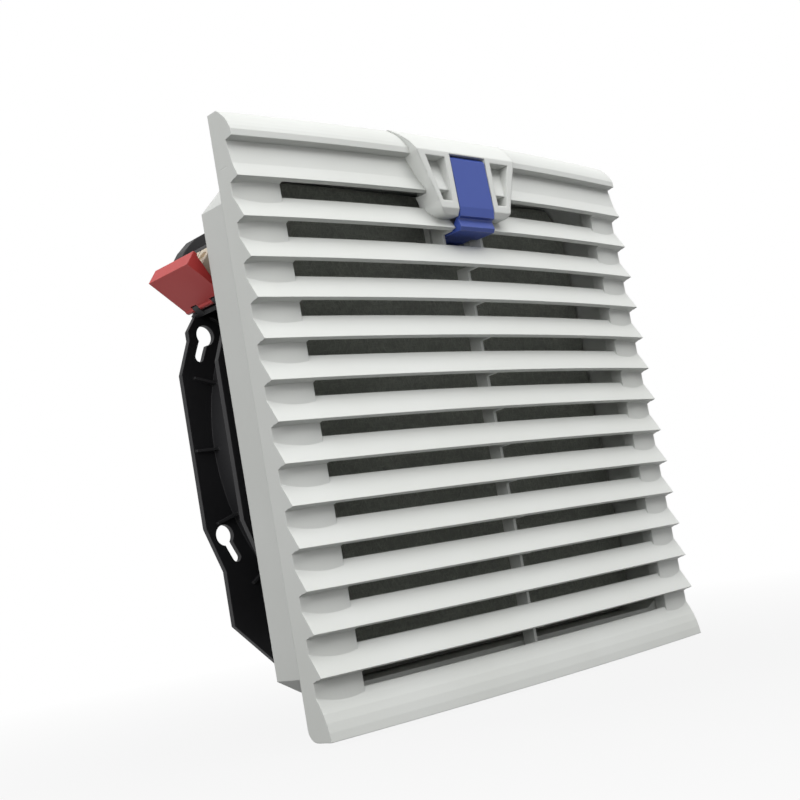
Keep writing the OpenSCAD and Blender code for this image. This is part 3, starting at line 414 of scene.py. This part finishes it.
def filter_fleece():
    """The mat as one closed pad: an uneven front, round edges and a flatter back against the grid."""
    low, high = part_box("filter_mat")
    cells = MAT_CELLS
    form = bmesh.new()

    def face_grid(front):
        """One face of the pad, front or back, as a grid of points with its quads."""
        grid = []
        for j in range(cells + 1):
            line = []
            z = low[2] + (high[2] - low[2]) * j / cells
            reach = mat_reach(z, low[2], high[2], high[0])
            for i in range(cells + 1):
                x = reach * (2 * i / cells - 1)
                inset = min(reach - abs(x), z - low[2], high[2] - z)
                bend = 1 - math.sqrt(max(0.0, 1 - max(0.0, 1 - inset / MAT_EDGE) ** 2))
                if front:
                    y = low[1] + FRONT_RELIEF * fleece_height(x, z) + MAT_EDGE * 0.9 * bend
                else:
                    y = high[1] - BACK_RELIEF * fleece_height(z, x) - MAT_EDGE * 0.6 * bend
                line.append(form.verts.new((x, y, z)))
            grid.append(line)
        for j in range(cells):
            for i in range(cells):
                corners = (grid[j][i], grid[j][i + 1], grid[j + 1][i + 1], grid[j + 1][i])
                form.faces.new(corners if front else corners[::-1])
        return grid

    def rim(grid):
        """The outer points of a grid, once round."""
        up, down = range(cells), range(cells, 0, -1)
        return ([grid[0][i] for i in up] + [grid[j][cells] for j in up]
                + [grid[cells][i] for i in down] + [grid[j][0] for j in down])

    first = rim(face_grid(True))
    last = rim(face_grid(False))
    count = len(first)
    loops = [first]
    for k in range(1, MAT_RINGS):
        share = k / MAT_RINGS
        loops.append([form.verts.new(a.co.lerp(b.co, share)) for a, b in zip(first, last)])
    loops.append(last)
    for near, far in zip(loops, loops[1:]):
        for k in range(count):
            n = (k + 1) % count
            form.faces.new((near[k], far[k], far[n], near[n]))
    mesh = shaped_mesh(form, "filter_fleece")
    fleece = new_piece("filter_fleece", mesh, FIBRE, "frame")
    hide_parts("filter_mat")


def loose_fibres(count, reach):
    """Single fibres that lie on the mat's front: thin three-sided strands, bent a little."""
    low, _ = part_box("filter_mat")
    pick = random.Random(11)
    mesh = bpy.data.meshes.new("loose_fibres")
    form = bmesh.new()
    for _ in range(count):
        x, z = pick.uniform(-reach, reach), pick.uniform(-reach, reach)
        heading, curl = pick.uniform(0, 2 * math.pi), pick.uniform(-0.5, 0.5)
        length, thick = pick.uniform(7, 20) * MM, pick.uniform(0.05, 0.1) * MM
        rings = []
        for _ in range(FIBRE_STEPS + 1):
            y = low[1] + FRONT_RELIEF * fleece_height(x, z) - thick * 0.4
            across = Vector((-math.sin(heading), 0.0, math.cos(heading)))
            ring = [Vector((x, y, z)) + across * thick * math.cos(a) + Vector((0, thick * math.sin(a), 0))
                    for a in FIBRE_CORNERS]
            rings.append([form.verts.new(p) for p in ring])
            x += math.cos(heading) * length / FIBRE_STEPS
            z += math.sin(heading) * length / FIBRE_STEPS
            heading += curl
        for near, far in zip(rings, rings[1:]):
            for k in range(3):
                form.faces.new((near[k], near[(k + 1) % 3], far[(k + 1) % 3], far[k]))
        form.faces.new(rings[0][::-1])
        form.faces.new(rings[-1])
    form.to_mesh(mesh)
    form.free()
    new_piece("loose_fibres", mesh, FIBRE, "frame")


filter_fleece()
loose_fibres(FIBRE_COUNT, FIBRE_FIELD)


# Door gasket

GASKET_STEPS = 44
GASKET_INNER_HALF = 111.75 * MM
GASKET_INNER_CUTS = (13.1 * MM, 6.9 * MM, 11.7 * MM)
GASKET_OUTER_CUTS = (6 * MM, 6 * MM, 6 * MM)
PORE_DEPTH = 0.12 * MM
PORE_SCALE = 620

# Section of the strip: share of its width from the inside out, and share of its thickness
GASKET_SECTION = [(0.0, 0.0), (0.0, 0.7), (0.05, 0.9), (0.16, 0.985), (0.38, 1.0), (0.62, 1.0), (0.84, 0.985),
                  (0.95, 0.9), (1.0, 0.7), (1.0, 0.0)]


def octagon_loop(half, top_cut, low_cut, low_run, steps):
    """Points round a square with cut corners, evenly spread on each of its eight sides, in x and z."""
    corners = [(half - low_run, -half), (half, low_cut - half), (half, half - top_cut),
               (half - top_cut, half), (top_cut - half, half), (-half, half - top_cut),
               (-half, low_cut - half), (low_run - half, -half)]
    loop = []
    for (x0, z0), (x1, z1) in zip(corners, corners[1:] + corners[:1]):
        loop += [(x0 + (x1 - x0) * k / steps, z0 + (z1 - z0) * k / steps) for k in range(steps)]
    return loop


def foam_gasket():
    """The foam strip round the box: a closed ring with soft edges and an open-pored, slightly uneven face."""
    low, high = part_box("door_gasket")
    inner = octagon_loop(GASKET_INNER_HALF, *GASKET_INNER_CUTS, GASKET_STEPS)
    outer = octagon_loop(high[0], *GASKET_OUTER_CUTS, GASKET_STEPS)
    thick = high[1] - low[1]
    form = bmesh.new()
    rings = []
    for (x0, z0), (x1, z1) in zip(inner, outer):
        ring = []
        for across, share in GASKET_SECTION:
            x, z = x0 + (x1 - x0) * across, z0 + (z1 - z0) * across
            grain = noise.noise(Vector((x * PORE_SCALE, across, z * PORE_SCALE)))
            pores = PORE_DEPTH * share * (0.5 + 0.5 * grain)
            ring.append(form.verts.new((x, low[1] + thick * share - pores, z)))
        rings.append(ring)
    for ring, after in zip(rings, rings[1:] + rings[:1]):
        for k in range(len(ring)):
            n = (k + 1) % len(ring)
            form.faces.new((ring[k], ring[n], after[n], after[k]))
    mesh = shaped_mesh(form, "foam_gasket")
    gasket = new_piece("foam_gasket", mesh, FOAM, "frame")
    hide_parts("door_gasket")


foam_gasket()


# Motor lead

LEAD_RADIUS = 2.4 * MM
LEAD_SIDES = 18
TERMINAL_ANGLE = math.radians(143)

# Route of the lead in the plane of the terminal, as in the part: distance from the fan axis, and depth, in mm
LEAD_ROUTE = [(22, 85), (22, 90), (23, 92.8), (25.2, 95), (28.4, 96), (33, 95.6), (44, 93.3), (72.25, 85.1),
              (92.5, 80.66), (102.5, 78.3), (116.6, 78.6), (121.6, 77.4), (124.6, 74.8), (125.6, 71.6),
              (125.6, 65.2)]


def smooth_route(points, steps):
    """A smooth line through points in a plane."""
    padded = [points[0]] + points + [points[-1]]
    line = []
    for a, b, c, d in zip(padded, padded[1:], padded[2:], padded[3:]):
        for k in range(steps):
            t = k / steps
            line.append(tuple(
                0.5 * (2 * b[i] + (c[i] - a[i]) * t + (2 * a[i] - 5 * b[i] + 4 * c[i] - d[i]) * t * t
                       + (3 * b[i] - a[i] - 3 * c[i] + d[i]) * t ** 3) for i in (0, 1)))
    return line + [points[-1]]


def motor_cable():
    """The sheathed lead from the motor's grommet over a guard strut to the terminal, as a round tube."""
    line = [(r * MM, y * MM) for r, y in smooth_route(LEAD_ROUTE, 6)]
    out = Vector((math.cos(TERMINAL_ANGLE), 0.0, math.sin(TERMINAL_ANGLE)))
    back = Vector((0.0, 1.0, 0.0))
    side = out.cross(back)
    form = bmesh.new()
    rings = []
    for i, (r, y) in enumerate(line):
        before, after = line[max(i - 1, 0)], line[min(i + 1, len(line) - 1)]
        ahead = (out * (after[0] - before[0]) + back * (after[1] - before[1])).normalized()
        across = ahead.cross(side)
        middle = out * r + back * y
        rings.append([form.verts.new(middle + (across * math.cos(a) + side * math.sin(a)) * LEAD_RADIUS)
                      for a in (2 * math.pi * k / LEAD_SIDES for k in range(LEAD_SIDES))])
    for ring, after in zip(rings, rings[1:]):
        for k in range(LEAD_SIDES):
            n = (k + 1) % LEAD_SIDES
            form.faces.new((ring[k], ring[n], after[n], after[k]))
    form.faces.new(rings[0])
    form.faces.new(rings[-1])
    mesh = shaped_mesh(form, "motor_cable", flat_ends=True)
    cable = new_piece("motor_cable", mesh, RUBBER, "fan")
    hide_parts("motor_lead")


motor_cable()


# Screws of the guard and the motor

SCREW_SIDES = 24
SCREW_HEAD = 2.4 * MM
SHANK_RADIUS = 2.0 * MM
SHANK_TIP = 0.4 * MM
SHANK_TIP_TAPER = 0.8
CROSS_ARM = 1.55 * MM
CROSS_HALF = 0.42 * MM
CROSS_DEPTH = 1.2 * MM
CROSS_TAPER = 0.55
SCREW_SHARP_ANGLE = math.radians(32)

# Radius and height of the pan head above its seat, in millimetres, from the seat to the rim of the flat top
PAN_HEAD = [(3.8, 0.0), (3.78, 0.6), (3.55, 1.3), (3.05, 1.85), (2.2, 2.27)]


def cross_screw(form, seat, grip, turn):
    """One pan-head screw that points along +Y, with a tapered cross recess turned by an angle."""
    def ring(radius, height):
        return [form.verts.new(seat + Vector((radius * math.cos(a), height, radius * math.sin(a))))
                for a in (2 * math.pi * k / SCREW_SIDES for k in range(SCREW_SIDES))]

    def skirt(near, far):
        for k in range(len(near)):
            n = (k + 1) % len(near)
            form.faces.new((near[k], far[k], far[n], near[n]))

    def cross(scale, height):
        arm, half = CROSS_ARM * scale, CROSS_HALF * scale
        corner = [(arm, -half), (arm, half), (half, half)]
        points = []
        for k in range(4):
            c, s = math.cos(turn + k * math.pi / 2), math.sin(turn + k * math.pi / 2)
            points += [(x * c - z * s, x * s + z * c) for x, z in corner]
        return [form.verts.new(seat + Vector((x, height, z))) for x, z in points]

    rings = [ring(SHANK_RADIUS * SHANK_TIP_TAPER, -grip), ring(SHANK_RADIUS, SHANK_TIP - grip)]
    rings.append(ring(SHANK_RADIUS, 0.0))
    rings += [ring(radius * MM, height * MM) for radius, height in PAN_HEAD]
    form.faces.new(rings[0])
    for near, far in zip(rings, rings[1:]):
        skirt(near, far)
    top = PAN_HEAD[-1][1] * MM
    mouth = cross(1.0, top)
    floor = cross(CROSS_TAPER, top - CROSS_DEPTH)
    rims = []
    for loop in (rings[-1], mouth):
        for k in range(len(loop)):
            pair = (loop[k], loop[(k + 1) % len(loop)])
            rims.append(form.edges.get(pair) or form.edges.new(pair))
    bmesh.ops.triangle_fill(form, edges=rims, use_beauty=True)
    skirt(mouth, floor)
    form.faces.new(floor)


def screw_set(name, node, ring, first_angle):
    """Four screws on a ring about the fan axis, in place of a CAD node."""
    low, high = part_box(node)
    seat_y = high[1] - SCREW_HEAD
    pick = random.Random(5)
    form = bmesh.new()
    for k in range(4):
        angle = math.radians(first_angle + 90 * k)
        seat = Vector((ring * math.cos(angle), seat_y, ring * math.sin(angle)))
        cross_screw(form, seat, seat_y - low[1], pick.uniform(0, math.pi / 2))
    mesh = shaped_mesh(form, name)
    mesh.set_sharp_from_angle(angle=SCREW_SHARP_ANGLE)
    screws = new_piece(name, mesh, PLATED, "fan")
    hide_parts(node)


screw_set("guard_cross_screws", "guard_screws", 105.5 * MM, 45)
screw_set("motor_cross_screws", "motor_screws", 30 * MM, 0)


# Seam at the ends of the head bar

SEAM_REACH = (127.48 * MM, 122.0 * MM)

# Depth and height of the wedge-shaped seam between the head bar's end and the rim below it, in millimetres
SEAM_WEDGE = [(-1.2, 103.35), (-8.05, 103.3), (-8.05, 103.77)]


def head_bar_seam():
    """Two slim wedges that close the hairline seam under the ends of the head bar."""
    mesh = bpy.data.meshes.new("head_bar_seam")
    form = bmesh.new()
    for side in (-1, 1):
        outer, inner = [
            [form.verts.new((side * x, y * MM, z * MM)) for y, z in SEAM_WEDGE] for x in SEAM_REACH]
        form.faces.new(outer)
        form.faces.new(inner[::-1])
        for k in range(3):
            n = (k + 1) % 3
            form.faces.new((outer[k], inner[k], inner[n], outer[n]))
    bmesh.ops.recalc_face_normals(form, faces=form.faces)
    form.to_mesh(mesh)
    form.free()
    new_piece("head_bar_seam", mesh, SEAM, "grille")


head_bar_seam()


# Camera, stage and light

FLOOR_GAP = 2 * MM
FLOOR_REACH = 12.0
FLOOR_GREY = (0.12, 0.12, 0.12, 1.0)
WHITE = (1.0, 1.0, 1.0, 1.0)

# Where the studio's light is strongest: from above, a little to the front and to the right
SKY_AXIS = (0.36, -0.3, 0.88)


def add_camera():
    """The photograph's camera."""
    lens = bpy.data.cameras.new("photo camera")
    lens.sensor_width = SENSOR_MM
    lens.lens = FOCAL_PX / PHOTO_SIDE * SENSOR_MM
    lens.shift_x = (PHOTO_SIDE / 2 - OPTICAL_AXIS_PX[0]) / PHOTO_SIDE
    lens.shift_y = (OPTICAL_AXIS_PX[1] - PHOTO_SIDE / 2) / PHOTO_SIDE
    lens.clip_start = 0.01
    lens.clip_end = 50.0
    camera = bpy.data.objects.new("photo camera", lens)
    right, up, back = Vector(CAMERA_RIGHT), -Vector(CAMERA_DOWN), -Vector(CAMERA_AHEAD)
    axes = Matrix((right, up, back)).transposed().to_4x4()
    camera.matrix_world = Matrix.Translation(CAMERA_AT) @ axes
    scene.collection.objects.link(camera)
    scene.camera = camera


def add_lamp(name, place, aim, width, watts):
    """A square soft lamp at a place, turned to what it lights."""
    light = bpy.data.lights.new(name, "AREA")
    light.size = width
    light.energy = watts
    lamp = bpy.data.objects.new(name, light)
    lamp.location = place
    lamp.rotation_euler = (Vector(aim) - Vector(place)).to_track_quat("-Z", "Y").to_euler()
    scene.collection.objects.link(lamp)


def add_floor(height):
    """A white floor that keeps a faint shadow: mostly white to the camera, plain diffuse to the object."""
    mesh = bpy.data.meshes.new("studio floor")
    corners = [(FLOOR_REACH * x, FLOOR_REACH * y, 0) for x, y in ((-1, -1), (1, -1), (1, 1), (-1, 1))]
    mesh.from_pydata(corners, [], [(0, 1, 2, 3)])
    floor = bpy.data.objects.new("studio_floor", mesh)
    floor.location = (0, 0, height)
    scene.collection.objects.link(floor)
    material = bpy.data.materials.new("studio floor")
    material.use_nodes = True
    tree = material.node_tree
    tree.nodes.clear()
    diffuse = tree.nodes.new("ShaderNodeBsdfDiffuse")
    diffuse.inputs["Color"].default_value = FLOOR_GREY
    white = tree.nodes.new("ShaderNodeEmission")
    white.inputs["Strength"].default_value = 1.0
    rays = tree.nodes.new("ShaderNodeLightPath")
    seen = math_node(tree, "MAXIMUM", rays.outputs["Is Camera Ray"], rays.outputs["Is Glossy Ray"])
    place = tree.nodes.new("ShaderNodeTexCoord").outputs["Object"]
    away = tree.nodes.new("ShaderNodeVectorMath")
    away.operation = "LENGTH"
    tree.links.new(place, away.inputs[0])
    white_share = map_range(tree, away.outputs["Value"], 0.1, 0.6, 0.9, 1.0)
    mostly = math_node(tree, "MULTIPLY", seen, white_share)
    blend = tree.nodes.new("ShaderNodeMixShader")
    tree.links.new(mostly, blend.inputs["Fac"])
    tree.links.new(diffuse.outputs["BSDF"], blend.inputs[1])
    tree.links.new(white.outputs["Emission"], blend.inputs[2])
    output = tree.nodes.new("ShaderNodeOutputMaterial")
    tree.links.new(blend.outputs["Shader"], output.inputs["Surface"])
    mesh.materials.append(material)


def add_world(low, high):
    """White to the camera and to reflections; as light it is softer, from low to high along an axis."""
    world = bpy.data.worlds.new("studio")
    world.use_nodes = True
    scene.world = world
    tree = world.node_tree
    background = tree.nodes["Background"]
    rays = tree.nodes.new("ShaderNodeLightPath")
    seen = math_node(tree, "MAXIMUM", rays.outputs["Is Camera Ray"], rays.outputs["Is Transmission Ray"])
    seen = math_node(tree, "MAXIMUM", seen, rays.outputs["Is Glossy Ray"])
    direction = tree.nodes.new("ShaderNodeTexCoord").outputs["Generated"]
    along = tree.nodes.new("ShaderNodeVectorMath")
    along.operation = "DOT_PRODUCT"
    along.inputs[1].default_value = SKY_AXIS
    tree.links.new(direction, along.inputs[0])
    sky = map_range(tree, along.outputs["Value"], 0.0, 0.9, low, high)
    tree.links.new(map_range(tree, seen, 0.0, 1.0, sky, 1.0), background.inputs["Strength"])
    background.inputs["Color"].default_value = WHITE


add_camera()
add_floor(cad_box[0][2] - FLOOR_GAP)
add_world(low=0.12, high=0.78)
add_lamp("soft key", place=(0.1, -0.6, 0.95), aim=(0.0, 0.0, 0.05), width=0.9, watts=9.8)
add_lamp("side fill", place=(-1.2, -0.25, 0.3), aim=(0.0, 0.0, 0.0), width=0.7, watts=7.2)

scene.view_settings.view_transform = "Standard"
